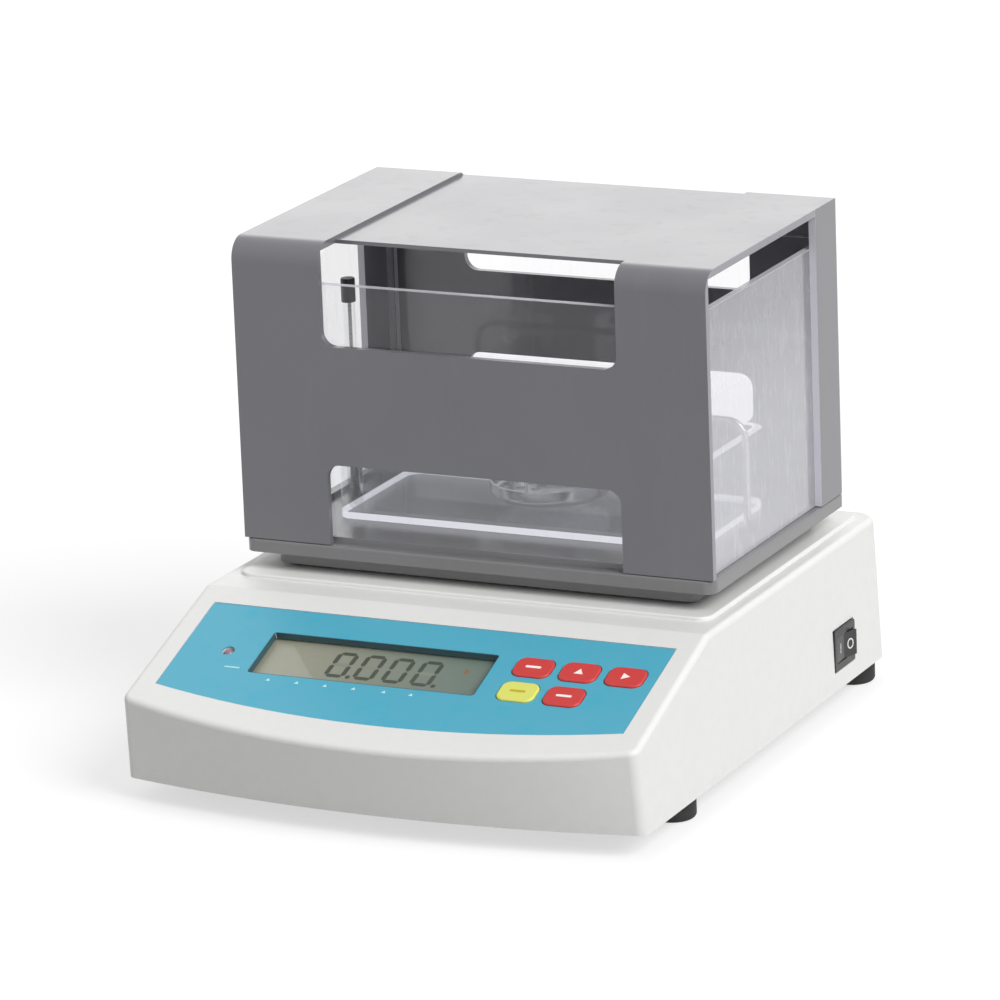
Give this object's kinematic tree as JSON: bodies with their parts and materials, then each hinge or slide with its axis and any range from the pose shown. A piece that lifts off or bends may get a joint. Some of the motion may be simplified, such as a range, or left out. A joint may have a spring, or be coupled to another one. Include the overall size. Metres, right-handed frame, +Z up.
{
  "type": "benchtop density meter",
  "caption": "Benchtop density meter: sloped keypad base, bridge tray with a clear water tank, weighing frame with basket and dish, and a sheet windshield.",
  "frame": {"origin": "on the bench, under the middle of the bounding box", "axes": "X to the user's right, Y to the rear, Z up"},
  "size_m": [0.2321, 0.2745, 0.213],
  "materials": {
    "abs_white": "fine satin moulded ABS",
    "floor_plastic": "plain moulded ABS",
    "membrane_blue": "printed polyester overlay, satin",
    "key_red": "satin red key",
    "key_yellow": "satin yellow key",
    "clear": "clear acrylic",
    "display": "liquid-crystal cell, grey-green",
    "holder_black": "black frame",
    "board_green": "circuit board with solder mask",
    "switch_black": "black switch plastic",
    "rocker_black": "black rocker",
    "lamp_grey": "unlit lamp, milky",
    "rubber_black": "black rubber",
    "steel_screw": "zinc plated steel",
    "brass_nut": "plain brass",
    "cell_alloy": "machined alloy",
    "steel_bright": "polished stainless",
    "tray_grey": "fine powder coat, grey",
    "cover_grey": "fine powder coat, grey",
    "cap_dark": "dark cap"
  },
  "bodies": {
    "base": {"upper_housing": "abs_white", "bottom_plate": "floor_plastic", "housing_screws": "steel_screw", "membrane_panel": "membrane_blue", "lcd_lens": "clear", "lcd_glass": "display", "lcd_holder": "holder_black", "display_board": "board_green", "display_screws": "steel_screw", "tact_switches": "holder_black", "indicator_lamp": "lamp_grey", "power_switch_body": "switch_black", "dc_inlet": "switch_black", "serial_port": "steel_screw", "foot_nuts": "brass_nut", "main_board": "board_green", "board_screws": "steel_screw", "load_cell": "cell_alloy", "cell_spacer": "cell_alloy", "cell_screws": "steel_screw", "overload_stop": "steel_screw", "tray": "tray_grey", "tray_pads": "rubber_black", "tray_screws": "steel_screw", "water_tank": "clear", "thermometer_clip": "abs_white"},
    "weigher": {"weigh_post": "cell_alloy", "post_screws": "steel_screw", "weigh_spider": "cell_alloy", "spider_screw_set": "steel_screw", "weigh_frame": "steel_bright", "frame_nuts": "steel_screw", "dish_carrier": "cell_alloy", "basket_bail": "steel_bright", "basket": "steel_bright"},
    "dish": {"weighing_dish": "steel_bright"},
    "thermometer": {"thermometer_glass": "clear", "thermometer_cap": "cap_dark"},
    "cover": {"windshield_cover": "cover_grey", "clear_panel_front": "clear", "clear_panel_back": "clear", "clear_panel_left": "clear", "clear_panel_right": "clear"},
    "rocker": {"power_rocker": "rocker_black"},
    "button_top_left": {"key_top_left": "key_red"},
    "button_top_middle": {"key_top_middle": "key_red"},
    "button_top_right": {"key_top_right": "key_red"},
    "button_bottom_left": {"key_bottom_left": "key_yellow"},
    "button_bottom_right": {"key_bottom_right": "key_red"},
    "foot_front_left": {"foot_pad_front_left": "rubber_black", "foot_stud_front_left": "steel_screw"},
    "foot_front_right": {"foot_pad_front_right": "rubber_black", "foot_stud_front_right": "steel_screw"},
    "foot_rear_left": {"foot_pad_rear_left": "rubber_black", "foot_stud_rear_left": "steel_screw"},
    "foot_rear_right": {"foot_pad_rear_right": "rubber_black", "foot_stud_rear_right": "steel_screw"}
  },
  "joints": [
    {"name": "cover_lift", "type": "slide", "parent": "base", "child": "cover", "axis": [0, 0, 1], "range_m": [0, 0.13]},
    {"name": "weigher_deflection", "type": "slide", "parent": "base", "child": "weigher", "axis": [0, 0, -1], "range_m": [0, 0.0004], "stiffness_N_per_m": 20000, "springref_m": -0.00015, "deforming": ["load_cell"]},
    {"name": "dish_lift", "type": "slide", "parent": "weigher", "child": "dish", "axis": [0, 0, 1], "range_m": [0, 0.05]},
    {"name": "thermometer_lift", "type": "slide", "parent": "base", "child": "thermometer", "axis": [0, 0, 1], "range_m": [0, 0.012]},
    {"name": "rocker_pivot", "type": "hinge", "parent": "base", "child": "rocker", "pos_m": [0.1125, 0.089, 0.027], "axis": [0, 0, 1], "range_deg": [0, 16]},
    {"name": "press_top_left", "type": "slide", "parent": "base", "child": "button_top_left", "axis": [0, 0.3309, -0.9437], "range_m": [0, 0.0005], "stiffness_N_per_m": 2000, "springref_m": -0.0002},
    {"name": "press_top_middle", "type": "slide", "parent": "base", "child": "button_top_middle", "axis": [0, 0.3309, -0.9437], "range_m": [0, 0.0005], "stiffness_N_per_m": 2000, "springref_m": -0.0002},
    {"name": "press_top_right", "type": "slide", "parent": "base", "child": "button_top_right", "axis": [0, 0.3309, -0.9437], "range_m": [0, 0.0005], "stiffness_N_per_m": 2000, "springref_m": -0.0002},
    {"name": "press_bottom_left", "type": "slide", "parent": "base", "child": "button_bottom_left", "axis": [0, 0.3309, -0.9437], "range_m": [0, 0.0005], "stiffness_N_per_m": 2000, "springref_m": -0.0002},
    {"name": "press_bottom_right", "type": "slide", "parent": "base", "child": "button_bottom_right", "axis": [0, 0.3309, -0.9437], "range_m": [0, 0.0005], "stiffness_N_per_m": 2000, "springref_m": -0.0002},
    {"name": "level_front_left", "type": "hinge", "parent": "base", "child": "foot_front_left", "pos_m": [-0.103, -0.0654, 0.0084], "axis": [0, 0, 1], "range_deg": [-360, 720]},
    {"name": "level_front_right", "type": "hinge", "parent": "base", "child": "foot_front_right", "pos_m": [0.103, -0.0654, 0.0084], "axis": [0, 0, 1], "range_deg": [-360, 720]},
    {"name": "level_rear_left", "type": "hinge", "parent": "base", "child": "foot_rear_left", "pos_m": [-0.103, 0.1255, 0.0084], "axis": [0, 0, 1], "range_deg": [-360, 720]},
    {"name": "level_rear_right", "type": "hinge", "parent": "base", "child": "foot_rear_right", "pos_m": [0.103, 0.1255, 0.0084], "axis": [0, 0, 1], "range_deg": [-360, 720]}
  ]
}
